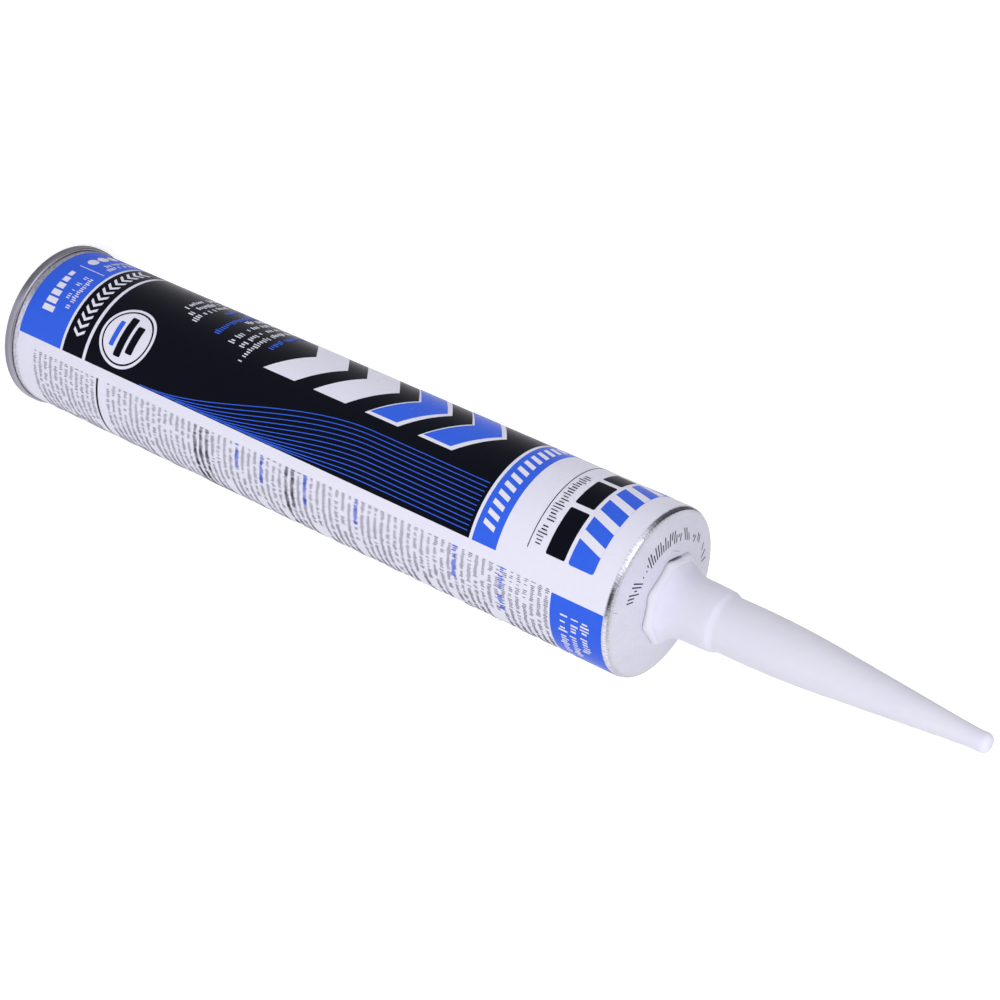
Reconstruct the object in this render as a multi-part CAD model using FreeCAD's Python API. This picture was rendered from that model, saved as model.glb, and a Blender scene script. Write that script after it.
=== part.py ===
import FreeCAD, Part
import math
import os
from FreeCAD import Vector

# Caulk tube: a seamless aluminium can with a rolled rear edge and a threaded neck, a piston that
# slides inside it, the sealant between the two, and a long plastic nozzle that fits the neck.
# It stands on the rolled edge with its axis on +Z and its origin at the middle of that edge.
# All sizes are in millimetres, and every half section is drawn as (radius, height).

# Can
can_radius = 23.6
can_wall = 0.35
can_length = 215.8            # rear edge to the shoulder's outer corner
corner_height = 1.55          # height of the rounded bare band under the shoulder
corner_inset = 0.57           # how far that band leans in
shoulder_rise = 15.2          # slope of the shoulder in degrees
shoulder_wall = 0.9

# Rolled rear edge
bead_height = 2.77
bead_hollow = 0.35            # clear width inside the roll
bead_turn = 0.05              # inner radius of its two lower turns
bead_lip_gap = 0.12           # from the roll's free lip to the can's wall
band_height = 4.67            # rear edge to the end of the bare band above the roll
band_flare = 0.12             # how far the wall leans out over that band

# Neck
neck_radius = 6.75
neck_bore = 5.6
neck_height = 12.8            # above the shoulder's slope
neck_root_fillet = 0.8
neck_chamfer = 0.5
neck_seal = 0.3               # the membrane that closes the neck until it is pierced

# Sealant
fill_clearance = 0.05
fill_gap = 0.3                # between the sealant and the piston's face

# Piston
piston_recess = 13.9          # rear edge to the piston, which leaves room for 310 ml of sealant
piston_clearance = 0.08
piston_wall = 1.3
piston_face = 1.6
piston_length = 18.0          # along its skirt
lip_height = 3.2              # each of the two sealing lips
lip_relief = 0.4              # how far the skirt draws back between the lips
lip_chamfer = 0.6
rib_count = 8
rib_thickness = 1.1
rib_hub_radius = 4.0

# Nozzle
nozzle_length = 91.6          # flange's lower edge to the closed tip
nozzle_seat_gap = 0.35        # between the flange and the shoulder
nozzle_bore_clearance = 0.6   # around the neck, for the thread
nozzle_top_clearance = 0.3    # above the neck
nozzle_wall = 1.1
flange_sides = 8
flange_flat_radius = 11.8     # middle of the axis to a flat side
flange_corner = 2.4           # radius of the rounded corners
flange_turn = -39.0           # direction of one corner in degrees
flange_thickness = 1.35
flange_edge = 0.3             # rounding of its upper edge
flare_radius = 10.6           # foot of the flare that runs up into the hub
flare_height = 10.3
hub_radius = 8.53
hub_end_radius = 8.3
hub_end_height = 16.1
step_height = 1.8
barrel_radius = 7.5
barrel_knuckle_height = 35.0  # where the barrel would meet the cone
cone_blend = 12.0             # length of the tangent arc on either side of that point
tip_radius = 2.62
tip_length = 5.2              # straight end of the nozzle
tip_round = 0.9
tip_plug = 3.0                # closed length at the tip

slope = math.radians(shoulder_rise)
bore_radius = can_radius - can_wall
rear_radius = can_radius + band_flare
bead_radius = rear_radius + bead_hollow + can_wall
shoulder_radius = can_radius - corner_inset


class Outline:
    # A closed half section made of straight runs and arcs, turned about the axis.
    def __init__(self, r, z):
        self.first = Vector(r, 0, z)
        self.last = self.first
        self.edges = []

    def line(self, r, z):
        end = Vector(r, 0, z)
        self.edges.append(Part.LineSegment(self.last, end).toShape())
        self.last = end

    def arc(self, centre, radius, start, end):
        # centre is (r, z), and both angles are degrees from the outward direction
        points = []
        for angle in (start, (start + end) / 2, end):
            a = math.radians(angle)
            points.append(Vector(centre[0] + radius * math.cos(a), 0, centre[1] + radius * math.sin(a)))
        points[0] = self.last
        self.edges.append(Part.Arc(*points).toShape())
        self.last = points[2]

    def blend(self, corner, length, r, z):
        # tangent arc round a corner, from the point reached so far, then straight on to (r, z)
        knuckle = Vector(corner[0], 0, corner[1])
        back = (self.last - knuckle).normalize()
        onward = (Vector(r, 0, z) - knuckle).normalize()
        start = knuckle + back * length
        end = knuckle + onward * length
        half = back.getAngle(onward) / 2
        middle_way = (back + onward).normalize()
        radius = length * math.tan(half)
        middle = knuckle + middle_way * (length / math.cos(half) - radius)
        self.line(start.x, start.z)
        self.edges.append(Part.Arc(start, middle, end).toShape())
        self.last = end
        self.line(r, z)

    def revolve(self):
        self.line(self.first.x, self.first.z)
        face = Part.Face(Part.Wire(self.edges))
        return face.revolve(Vector(0, 0, 0), Vector(0, 0, 1), 360)


def shoulder_z(r, offset=0.0):
    # height of the shoulder's slope at a radius, moved along its normal by offset
    return can_length + (shoulder_radius - r) * math.tan(slope) + offset / math.cos(slope)


neck_top = shoulder_z(neck_radius) + neck_height
neck_floor = neck_top - neck_seal
thread_radius = neck_radius + nozzle_bore_clearance


def make_can():
    lip = rear_radius + bead_lip_gap
    turn = bead_turn + can_wall
    fold = bead_hollow / 2 + can_wall
    fold_r = rear_radius + bead_hollow / 2
    fold_z = bead_height - fold
    inner_left = rear_radius + bead_turn
    inner_right = bead_radius - turn

    # outside of the roll, its flat foot, and the inner wall
    can = Outline(lip, bead_height)
    can.line(fold_r, bead_height)
    can.arc((fold_r, fold_z), fold, 90, 0)
    can.line(bead_radius, turn)
    can.arc((inner_right, turn), turn, 0, -90)
    can.line(inner_left, 0)
    can.arc((inner_left, turn), turn, -90, -180)
    can.line(rear_radius - can_wall, bead_height)
    can.line(bore_radius, band_height)
    corner_start = can_length - corner_height
    can.line(bore_radius, corner_start)

    # underside of the shoulder, the neck's bore and the membrane
    can.line(shoulder_radius - shoulder_wall, shoulder_z(shoulder_radius - shoulder_wall, -shoulder_wall))
    can.line(neck_bore, shoulder_z(neck_bore, -shoulder_wall))
    can.line(neck_bore, neck_floor)
    can.line(0, neck_floor)
    can.line(0, neck_top)

    # neck, with a fillet at its root
    can.line(neck_radius - neck_chamfer, neck_top)
    can.line(neck_radius, neck_top - neck_chamfer)
    root_r = neck_radius + neck_root_fillet
    root_z = shoulder_z(root_r, neck_root_fillet)
    can.line(neck_radius, root_z)
    can.arc((root_r, root_z), neck_root_fillet, 180, 270 - shoulder_rise)

    # shoulder, rounded corner and outer wall
    can.line(shoulder_radius, can_length)
    corner_radius = (corner_inset**2 + corner_height**2) / (2 * corner_inset)
    corner_end = math.degrees(math.asin(corner_height / corner_radius))
    can.arc((can_radius - corner_radius, corner_start), corner_radius, corner_end, 0)
    can.line(can_radius, band_height)
    can.line(rear_radius, bead_height)
    can.line(rear_radius, turn)

    # hollow inside the roll, up to its free lip
    can.arc((inner_left, turn), bead_turn, 180, 270)
    can.line(inner_right, can_wall)
    can.arc((inner_right, turn), bead_turn, -90, 0)
    can.line(bead_radius - can_wall, fold_z)
    can.arc((fold_r, fold_z), bead_hollow / 2, 0, 90)
    can.line(lip, bead_height - can_wall)
    return can.revolve()


# The piston's face is parallel to the underside of the shoulder, and lies this far behind it.
fill_radius = bore_radius - fill_clearance
neck_fill_radius = neck_bore - fill_clearance
piston_radius = bore_radius - piston_clearance
piston_front = piston_recess + piston_length
piston_shift = shoulder_z(piston_radius, -shoulder_wall) - piston_front


def piston_z(r, offset=0.0):
    # height of the piston's face at a radius, moved along its normal by offset
    return shoulder_z(r, offset - shoulder_wall) - piston_shift


piston_floor = piston_z(piston_radius - piston_wall, -piston_face)


def make_sealant():
    top = -shoulder_wall - fill_clearance
    sealant = Outline(0, piston_z(neck_bore) + fill_gap)
    sealant.line(neck_bore, piston_z(neck_bore) + fill_gap)
    sealant.line(fill_radius, piston_z(fill_radius) + fill_gap)
    corner = can_length - corner_height - fill_clearance
    sealant.line(fill_radius, corner)
    inner = shoulder_radius - shoulder_wall - fill_clearance
    sealant.line(inner, shoulder_z(inner, top))
    sealant.line(neck_fill_radius, shoulder_z(neck_fill_radius, top))
    sealant.line(neck_fill_radius, neck_floor - fill_clearance)
    sealant.line(0, neck_floor - fill_clearance)
    return sealant.revolve()


def make_piston():
    inside = piston_radius - piston_wall
    relief = piston_radius - lip_relief
    cup = Outline(0, piston_z(neck_bore))
    cup.line(0, piston_z(neck_bore, -piston_face))
    cup.line(neck_bore, piston_z(neck_bore, -piston_face))
    cup.line(inside, piston_floor)
    cup.line(inside, piston_recess)
    cup.line(piston_radius - lip_chamfer, piston_recess)
    cup.line(piston_radius, piston_recess + lip_chamfer)
    cup.line(piston_radius, piston_recess + lip_height)
    cup.line(relief, piston_recess + lip_height + lip_relief)
    cup.line(relief, piston_front - lip_height - lip_relief)
    cup.line(piston_radius, piston_front - lip_height)
    cup.line(piston_radius, piston_front - corner_height)
    cup.line(shoulder_radius - shoulder_wall, piston_z(shoulder_radius - shoulder_wall))
    cup.line(neck_bore, piston_z(neck_bore))
    return cup.revolve().fuse(make_ribs(inside)).removeSplitter()


def make_ribs(inside):
    # radial ribs behind the sloping face, flush with the end of the skirt's bore
    middle = -piston_face / 2
    zone = Outline(0, piston_floor)
    zone.line(inside + piston_wall / 2, piston_floor)
    zone.line(neck_bore, piston_z(neck_bore, middle))
    zone.line(0, piston_z(neck_bore, middle))
    height = piston_z(neck_bore) - piston_floor
    bars = [Part.makeCylinder(rib_hub_radius, height, Vector(0, 0, piston_floor))]
    for index in range(rib_count):
        bar = Part.makeBox(inside, rib_thickness, height, Vector(0, -rib_thickness / 2, piston_floor))
        bar.rotate(Vector(0, 0, 0), Vector(0, 0, 1), 360 * index / rib_count)
        bars.append(bar)
    return bars[0].multiFuse(bars[1:]).common(zone.revolve())


def flange_prism(low, high):
    # upright prism with rounded corners, as wide as the flange
    corner_r = (flange_flat_radius - flange_corner) / math.cos(math.pi / flange_sides)
    turn = 360 / flange_sides
    edges = []
    for index in range(flange_sides):
        middle = flange_turn + turn * index
        a = math.radians(middle)
        centre = Vector(corner_r * math.cos(a), corner_r * math.sin(a), low)
        points = []
        for angle in (middle - turn / 2, middle, middle + turn / 2):
            b = math.radians(angle)
            points.append(centre + Vector(math.cos(b), math.sin(b), 0) * flange_corner)
        if edges:
            edges.append(Part.LineSegment(last, points[0]).toShape())
        else:
            first = points[0]
        edges.append(Part.Arc(*points).toShape())
        last = points[2]
    edges.append(Part.LineSegment(last, first).toShape())
    return Part.Face(Part.Wire(edges)).extrude(Vector(0, 0, high - low))


flange_reach = (flange_flat_radius - flange_corner) / math.cos(math.pi / flange_sides) + flange_corner
nozzle_base = shoulder_z(flange_reach, nozzle_seat_gap)
nozzle_tip = nozzle_base + nozzle_length


def make_nozzle():
    under = nozzle_seat_gap
    over = under + flange_thickness
    spare = flange_reach + 1
    hub_end = nozzle_base + hub_end_height
    knuckle = (barrel_radius, nozzle_base + barrel_knuckle_height)
    tip_start = nozzle_tip - tip_length

    # outside, from the flange up to the tip
    nozzle = Outline(thread_radius, shoulder_z(thread_radius, under))
    nozzle.line(spare, shoulder_z(spare, under))
    nozzle.line(spare, shoulder_z(spare, over))
    nozzle.line(flare_radius, shoulder_z(flare_radius, over))
    flare(nozzle, hub_radius, nozzle_base + flare_height)
    nozzle.line(hub_end_radius, hub_end)
    nozzle.line(barrel_radius, hub_end + step_height)
    nozzle.blend(knuckle, cone_blend, tip_radius, tip_start)
    nozzle.line(tip_radius, nozzle_tip - tip_round)
    nozzle.arc((tip_radius - tip_round, nozzle_tip - tip_round), tip_round, 0, 90)
    nozzle.line(0, nozzle_tip)

    # inside, from the closed tip down to the bore for the neck
    nozzle.line(0, nozzle_tip - tip_plug)
    nozzle.line(tip_radius - nozzle_wall, nozzle_tip - tip_plug)
    nozzle.line(tip_radius - nozzle_wall, tip_start)
    inner_knuckle = (barrel_radius - nozzle_wall, knuckle[1])
    seat = neck_top + nozzle_top_clearance
    nozzle.blend(inner_knuckle, cone_blend, barrel_radius - nozzle_wall, seat)
    nozzle.line(thread_radius, seat)
    body = nozzle.revolve()
    trimmed = body.common(flange_prism(nozzle_base - flange_thickness, nozzle_tip + 1))
    return round_flange(trimmed)


def flare(nozzle, r, z):
    # hollow curve from the flange's top up into the hub, upright where it arrives
    start = nozzle.last
    end = Vector(r, 0, z)
    across = start.x - r
    rise = z - start.z
    middle = Vector(r + 0.18 * across, 0, start.z + 0.4 * rise)
    curve = Part.BSplineCurve()
    curve.interpolate([start, middle, end], InitialTangent=Vector(-across, 0, 0.3 * rise),
                      FinalTangent=Vector(-0.02 * across, 0, rise))
    nozzle.edges.append(curve.toShape())
    nozzle.last = end


def round_flange(nozzle):
    # soften the flange's upper outer edge
    edges = []
    middle = flange_flat_radius * math.cos(math.pi / flange_sides)
    for edge in nozzle.Edges:
        box = edge.BoundBox
        centre = edge.CenterOfMass
        outer = math.hypot(centre.x, centre.y) > middle
        upper = box.ZMin > nozzle_base + flange_thickness / 2
        level = box.ZLength < flange_thickness / 2
        if outer and upper and level:
            edges.append(edge)
    return nozzle.makeFillet(flange_edge, edges)


os.makedirs("parts", exist_ok=True)
pieces = {
    "can": make_can(),
    "sealant": make_sealant(),
    "piston": make_piston(),
    "nozzle": make_nozzle(),
}
for name, shape in pieces.items():
    shape.exportStep("parts/" + name + ".step")
    print(name, "valid", shape.isValid(), "solids", len(shape.Solids), "volume", round(shape.Volume, 1))
print("piston front", round(piston_front, 3), "floor", round(piston_floor, 3), "travel", round(piston_shift, 3))
print("neck top", round(neck_top, 3), "nozzle base", round(nozzle_base, 3), "tip", round(nozzle_tip, 3))
print("shoulder underside", round(shoulder_z(bore_radius, -shoulder_wall), 3))
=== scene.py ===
import math
import bpy
import numpy as np
from mathutils import Matrix, Vector


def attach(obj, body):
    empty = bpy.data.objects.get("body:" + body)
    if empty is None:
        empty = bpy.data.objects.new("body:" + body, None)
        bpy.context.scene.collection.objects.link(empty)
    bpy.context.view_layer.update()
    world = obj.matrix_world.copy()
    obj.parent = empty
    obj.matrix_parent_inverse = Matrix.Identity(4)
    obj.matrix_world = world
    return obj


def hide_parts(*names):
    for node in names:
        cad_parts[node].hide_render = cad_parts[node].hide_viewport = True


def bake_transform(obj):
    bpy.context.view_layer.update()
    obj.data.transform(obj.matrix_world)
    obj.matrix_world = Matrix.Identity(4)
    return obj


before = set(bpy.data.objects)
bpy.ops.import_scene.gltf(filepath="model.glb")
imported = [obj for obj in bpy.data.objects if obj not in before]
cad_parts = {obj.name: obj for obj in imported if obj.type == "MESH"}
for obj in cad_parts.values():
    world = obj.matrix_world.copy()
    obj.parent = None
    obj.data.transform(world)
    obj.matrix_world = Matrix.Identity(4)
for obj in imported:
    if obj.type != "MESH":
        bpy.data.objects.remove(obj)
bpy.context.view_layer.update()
print("frame loaded")

mm = 0.001
wallRadius = 23.6
cornerRadius, cornerHeight = 23.03, 215.8  # outer edge of the can's shoulder
slope = math.radians(15.2)  # of the shoulder
white = (0.790, 0.780, 0.915)  # the print's base coat, linear
blue = (0.034, 0.130, 0.810)
black = (0.0030, 0.0040, 0.0095)


def shoulderHeight(r, lift=0.0):
    # height of the shoulder's slope at radius r, moved out along its normal by lift
    return cornerHeight + (cornerRadius - r) * math.tan(slope) + lift / math.cos(slope)


def smoothStep(x):
    x = np.clip(x, 0, 1)
    return x * x * (3 - 2 * x)


# Meshes

def addObject(name, data):
    made = bpy.data.objects.new(name, data)
    bpy.context.scene.collection.objects.link(made)
    return made


def addPiece(name, points, quads, triangles, material, body, sharp=30):
    # points in millimetres; quads and triangles hold the numbers of their corners, turning outwards
    points = np.asarray(points, float).reshape(-1, 3) * mm
    quads = np.asarray(quads, int).reshape(-1, 4)
    triangles = np.asarray(triangles, int).reshape(-1, 3)
    corners = np.concatenate([quads.ravel(), triangles.ravel()])
    starts = np.concatenate([np.arange(len(quads)) * 4, len(quads) * 4 + np.arange(len(triangles)) * 3])
    mesh = bpy.data.meshes.new(name)
    mesh.vertices.add(len(points))
    mesh.vertices.foreach_set("co", points.ravel())
    mesh.loops.add(len(corners))
    mesh.loops.foreach_set("vertex_index", corners)
    mesh.polygons.add(len(starts))
    mesh.polygons.foreach_set("loop_start", starts)
    mesh.polygons.foreach_set("use_smooth", np.ones(len(starts), bool))
    mesh.update(calc_edges=True)
    mesh.set_sharp_from_angle(angle=math.radians(sharp))
    mesh.materials.append(material)
    piece = addObject(name, mesh)
    if body:
        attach(piece, body)
    return piece


def roundAxis(radii, angles, heights):
    # points at a radius, an angle and a height, as (x, y, z)
    return np.stack([radii * np.cos(angles), radii * np.sin(angles), heights], -1)


def gridQuads(rows, columns, closed):
    # quads between the rows of a grid; closed joins its last column to its first
    index = np.arange(rows * columns).reshape(rows, columns)
    after = np.roll(index, -1, axis=1)
    a, b, c, d = index[:-1], after[:-1], after[1:], index[1:]
    if not closed:
        a, b, c, d = a[:, :-1], b[:, :-1], c[:, :-1], d[:, :-1]
    return np.stack([a, b, c, d], -1).reshape(-1, 4)


boxFaces = np.array([[0, 1, 2, 3], [7, 6, 5, 4], [0, 4, 5, 1], [1, 5, 6, 2], [2, 6, 7, 3], [3, 7, 4, 0]])


def boxQuads(count):
    # faces of many small boxes, each with four corners on top and then the same four below
    return (boxFaces + (np.arange(count) * 8)[:, None, None]).reshape(-1, 4)


def directions(count, start=0.0):
    return start + np.linspace(0, 2 * math.pi, count, endpoint=False)[None, :]


def sweep(line, count):
    # radii and heights of a half section's points, repeated for each direction
    return np.repeat(line[:, :1], count, 1), np.repeat(line[:, 1:], count, 1)


def turnedShell(name, radii, heights, angles, poles, material, body, sharp=30, bend=None):
    # radii and heights are grids of (row, angle); the first and last rows close on the axis at the heights
    # in poles; bend gives how far the axis has moved along x at each height
    rows, columns = radii.shape
    points = roundAxis(radii, angles, heights).reshape(-1, 3)
    points = np.vstack([points, [0, 0, poles[0]], [0, 0, poles[1]]])
    if bend:
        points[:, 0] += bend(points[:, 2])
    ring = np.arange(columns)
    after = np.roll(ring, -1)
    last = (rows - 1) * columns
    first = np.stack([np.full(columns, rows * columns), after, ring], -1)
    end = np.stack([np.full(columns, rows * columns + 1), last + ring, last + after], -1)
    quads = gridQuads(rows, columns, True)
    return addPiece(name, points, quads, np.vstack([first, end]), material, body, sharp)


def arcPoints(centreR, centreZ, radius, start, end, steps):
    # points (r, z) on a circle, both angles in degrees from the outward direction
    a = np.radians(np.linspace(start, end, steps))
    return np.stack([centreR + radius * np.cos(a), centreZ + radius * np.sin(a)], -1)


def bendPoints(start, knuckle, end, steps):
    # quadratic curve from start to end, tangent at both to the lines through the knuckle
    t = np.linspace(0, 1, steps)[:, None]
    return (1 - t) ** 2 * np.array(start) + 2 * t * (1 - t) * np.array(knuckle) + t**2 * np.array(end)


def roundedCorner(before, corner, after, radius, steps=5):
    # the corner cut back by about radius on each side and bent round
    before, corner, after = (np.array(p, float) for p in (before, corner, after))
    start = corner + (before - corner) * min(0.45, radius / np.linalg.norm(before - corner))
    end = corner + (after - corner) * min(0.45, radius / np.linalg.norm(after - corner))
    return bendPoints(start, corner, end, steps)


def threadHeight(angles, heights, low, high, pitch):
    # share of the ridge's height of a helix: flat crest, sloping flanks, running out at both ends
    phase = (heights - low) / pitch - angles / (2 * math.pi)
    flank = np.abs((phase % 1.0) - 0.5) * 2
    ridge = 1 - smoothStep((flank - 0.22) / 0.34)
    return ridge * smoothStep((heights - low) / 1.6) * smoothStep((high - heights) / 1.2)


# Shader nodes

def newMaterial(name):
    material = bpy.data.materials.new(name)
    material.use_nodes = True
    tree = material.node_tree
    tree.nodes.clear()
    return material, tree


def feed(tree, socket, value):
    # links the socket to another one, or sets it to a value
    if isinstance(value, bpy.types.NodeSocket):
        tree.links.new(value, socket)
    else:
        socket.default_value = value


def addNode(tree, kind, inputs, **attributes):
    made = tree.nodes.new("ShaderNode" + kind)
    for key, value in attributes.items():
        setattr(made, key, value)
    for key, value in inputs.items():
        feed(tree, made.inputs[key], value)
    return made


def addFinish(tree, inputs):
    shader = addNode(tree, "BsdfPrincipled", inputs)
    addNode(tree, "OutputMaterial", {"Surface": shader.outputs["BSDF"]})


def objectPoint(tree):
    return addNode(tree, "TexCoord", {}).outputs["Object"]


def scaled(tree, vector, scale):
    return addNode(tree, "Mapping", {"Vector": vector, "Scale": scale}).outputs["Vector"]


def noiseOf(tree, vector, scale, detail=3.0, roughness=0.55):
    inputs = {"Vector": vector, "Scale": scale, "Detail": detail, "Roughness": roughness}
    return addNode(tree, "TexNoise", inputs).outputs["Fac"]


def ringNoise(tree, value, scale, detail=2.0):
    # noise that changes along one value only, so it draws rings round the axis
    made = addNode(tree, "TexNoise", {"W": value, "Scale": scale, "Detail": detail}, noise_dimensions="1D")
    return made.outputs["Fac"]


def spread(tree, value, fromLow, fromHigh, toLow, toHigh):
    # the value's range carried over to another one, kept within it
    inputs = {"Value": value, "From Min": fromLow, "From Max": fromHigh, "To Min": toLow, "To Max": toHigh}
    return addNode(tree, "MapRange", inputs).outputs["Result"]


def between(tree, share, first, second):
    return spread(tree, share, 0.0, 1.0, first, second)


def mixColours(tree, share, first, second):
    made = addNode(tree, "Mix", {}, data_type="RGBA")
    sockets = [s for s in made.inputs if s.enabled]
    for socket, value in zip(sockets, (share, first, second)):
        feed(tree, socket, (*value, 1) if isinstance(value, tuple) else value)
    return [s for s in made.outputs if s.enabled][0]


def maths(tree, operation, first, second=0.0):
    return addNode(tree, "Math", {0: first, 1: second}, operation=operation).outputs["Value"]


def weighted(tree, first, share, second, other):
    # first times share, plus second times other
    first = maths(tree, "MULTIPLY", first, share)
    return maths(tree, "ADD", first, maths(tree, "MULTIPLY", second, other))


def bumpOf(tree, height, strength, distance):
    inputs = {"Height": height, "Strength": strength, "Distance": distance}
    return addNode(tree, "Bump", inputs).outputs["Normal"]


# Finishes

metal = {
    "shoulder": (0.81, 0.80, 0.93), "shoulderDull": (0.73, 0.72, 0.85), "shoulderMetal": 0.5,
    "corner": (0.86, 0.86, 0.96), "cornerStreak": (0.48, 0.48, 0.57), "dents": 0.5,
    # the roll's dark tint is painted shade and its lighter top tint a painted highlight; the band's dark
    # specks reuse the roll's tint
    "band": (0.91, 0.89, 1.0), "rainbow": 0.16, "bead": (0.35, 0.34, 0.39), "beadTopHighlight": (0.48, 0.47, 0.53),
    "inside": (0.80, 0.79, 0.82), "insideDull": (0.62, 0.61, 0.64), "insideMetal": 0.4, "relief": 0.06,
    "beadRoughness": 0.26, "bandRoughness": 0.30, "cornerRoughness": 0.17, "shoulderRoughness": 0.40,
    "insideRoughness": 0.42,
    # heights in metres over which one zone turns into the next
    "beadToHighlight": (0.0012, 0.0024), "beadToBand": (0.00272, 0.00285), "bandToCorner": (0.0050, 0.0052),
    "cornerStart": (0.2138, 0.2142), "cornerEnd": (0.2156, 0.2160), "boreEnd": (0.2149, 0.2152),
    "cornerToShoulder": (0.21575, 0.2161), "metalToSatin": (0.2158, 0.2161),
    "boreRadius": (0.02335, 0.02345),
}


def makeMetal():
    # bare aluminium in zones along the axis: a roll darkened by painted shade and lightened towards its top
    # by a painted highlight, speckled band, bright rounded corner and satin shoulder, with a duller zone in
    # the bore
    material, tree = newMaterial("bareAluminium")
    point = objectPoint(tree)
    parts = addNode(tree, "SeparateXYZ", {"Vector": point})
    x, y, z = (parts.outputs[axis] for axis in "XYZ")
    r = maths(tree, "SQRT", weighted(tree, x, x, y, y))
    cloud = noiseOf(tree, point, 140.0, 4.0)
    grain = noiseOf(tree, point, 1500.0, 3.0, 0.7)
    speck = noiseOf(tree, scaled(tree, point, (900.0, 900.0, 2400.0)), 1.0, 2.0, 0.8)
    streak = noiseOf(tree, scaled(tree, point, (2400.0, 2400.0, 220.0)), 1.0, 3.0, 0.7)
    blotch = noiseOf(tree, scaled(tree, point, (1100.0, 1100.0, 420.0)), 1.0, 3.0, 0.6)
    rainbow = addNode(tree, "TexNoise", {"Vector": point, "Scale": 1900.0, "Detail": 1.0}).outputs["Color"]
    rings = ringNoise(tree, maths(tree, "ADD", r, z), 2600.0, 3.0)
    mottled = weighted(tree, cloud, 0.5, grain, 0.5)

    def step(zone, before, after):
        return spread(tree, z, *metal[zone], before, after)

    # painted shade: the roll is tinted dark in place of the dark surroundings it would mirror, and its
    # lighter top is a painted highlight
    bead = mixColours(tree, step("beadToHighlight", 0.0, 1.0), metal["bead"], metal["beadTopHighlight"])
    band = mixColours(tree, metal["rainbow"], metal["band"], rainbow)
    band = mixColours(tree, spread(tree, speck, 0.42, 0.66, 0.0, 0.75), band, metal["bead"])
    streaked = spread(tree, streak, 0.42, 0.68, 0.0, 0.7)
    corner = mixColours(tree, streaked, metal["corner"], metal["cornerStreak"])
    dull = spread(tree, mottled, 0.38, 0.62, 0.0, 1.0)
    shoulder = mixColours(tree, dull, metal["shoulderDull"], metal["shoulder"])
    inside = spread(tree, r, *metal["boreRadius"], 1.0, 0.0)
    inBore = maths(tree, "MULTIPLY", inside, step("boreEnd", 1.0, 0.0))
    tint = mixColours(tree, step("beadToBand", 0.0, 1.0), bead, band)
    tint = mixColours(tree, step("bandToCorner", 0.0, 1.0), tint, corner)
    tint = mixColours(tree, step("cornerToShoulder", 0.0, 1.0), tint, shoulder)
    tint = mixColours(tree, inBore, tint, mixColours(tree, rings, metal["inside"], metal["insideDull"]))
    rough = step("beadToBand", metal["beadRoughness"], metal["bandRoughness"])
    rough = step("bandToCorner", rough, metal["cornerRoughness"])
    rough = step("cornerToShoulder", rough, metal["shoulderRoughness"])
    rough = between(tree, inBore, rough, metal["insideRoughness"])
    rough = maths(tree, "ADD", rough, spread(tree, mottled, 0.3, 0.7, -0.04, 0.05))
    metallic = step("metalToSatin", 1.0, metal["shoulderMetal"])
    onCorner = maths(tree, "MULTIPLY", step("cornerStart", 0.0, 1.0), step("cornerEnd", 1.0, 0.0))
    dents = maths(tree, "MULTIPLY", maths(tree, "ADD", streak, blotch), metal["dents"])
    relief = weighted(tree, maths(tree, "ADD", rings, grain), metal["relief"], onCorner, dents)
    addFinish(tree, {
        "Base Color": tint, "Roughness": rough, "Normal": bumpOf(tree, relief, 1.0, 0.0001),
        "Metallic": between(tree, inBore, metallic, metal["insideMetal"]),
    })
    return material


def makeInk(name, colour, deeper, roughness, gloss):
    # printed lacquer: faint mottling, fine rings left by drawing the wall, roughness that varies a little
    material, tree = newMaterial(name)
    point = objectPoint(tree)
    height = addNode(tree, "SeparateXYZ", {"Vector": point}).outputs["Z"]
    mottle = noiseOf(tree, point, 420.0, 5.0, 0.62)
    share = weighted(tree, mottle, 0.7, noiseOf(tree, point, 5200.0, 1.0), 0.3)
    relief = weighted(tree, ringNoise(tree, height, 1500.0), 0.6, mottle, 0.4)
    addFinish(tree, {
        "Base Color": mixColours(tree, spread(tree, share, 0.3, 0.7, 0.0, 1.0), deeper, colour),
        "Roughness": spread(tree, mottle, 0.3, 0.7, roughness + 0.05, roughness - 0.04),
        "Normal": bumpOf(tree, relief, 0.12, 0.00003), "Specular IOR Level": gloss, "IOR": 1.5,
    })
    return material


def makePlastic(name, colour, deeper, roughness, depth, weight):
    # moulded polyethylene: light goes a little way in, with flow streaks along the axis and fine satin grain
    material, tree = newMaterial(name)
    point = objectPoint(tree)
    streaks = noiseOf(tree, scaled(tree, point, (300.0, 300.0, 22.0)), 1.0, 4.0)
    share = weighted(tree, streaks, 0.5, noiseOf(tree, point, 90.0), 0.5)
    relief = weighted(tree, streaks, 0.6, noiseOf(tree, point, 3200.0, 2.0), 0.4)
    addFinish(tree, {
        "Base Color": mixColours(tree, spread(tree, share, 0.35, 0.65, 0.0, 1.0), deeper, colour),
        "Roughness": spread(tree, streaks, 0.3, 0.7, roughness - 0.05, roughness + 0.07),
        "Normal": bumpOf(tree, relief, 0.22, 0.00006), "Specular IOR Level": 0.28, "IOR": 1.5,
        "Subsurface Weight": weight, "Subsurface Radius": (1.0, 1.0, 1.0), "Subsurface Scale": depth,
        "Sheen Weight": 0.3, "Sheen Roughness": 0.5, "Sheen Tint": (*colour, 1),
    })
    return material


def makePaste():
    # black sealant: soft folds and a wet sheen
    material, tree = newMaterial("blackPaste")
    folds = noiseOf(tree, objectPoint(tree), 260.0, 4.0)
    addFinish(tree, {
        "Base Color": mixColours(tree, folds, (0.010, 0.010, 0.012), (0.022, 0.022, 0.026)),
        "Roughness": spread(tree, folds, 0.3, 0.7, 0.32, 0.50),
        "Normal": bumpOf(tree, folds, 0.5, 0.0004), "Specular IOR Level": 0.5,
    })
    return material


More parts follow.
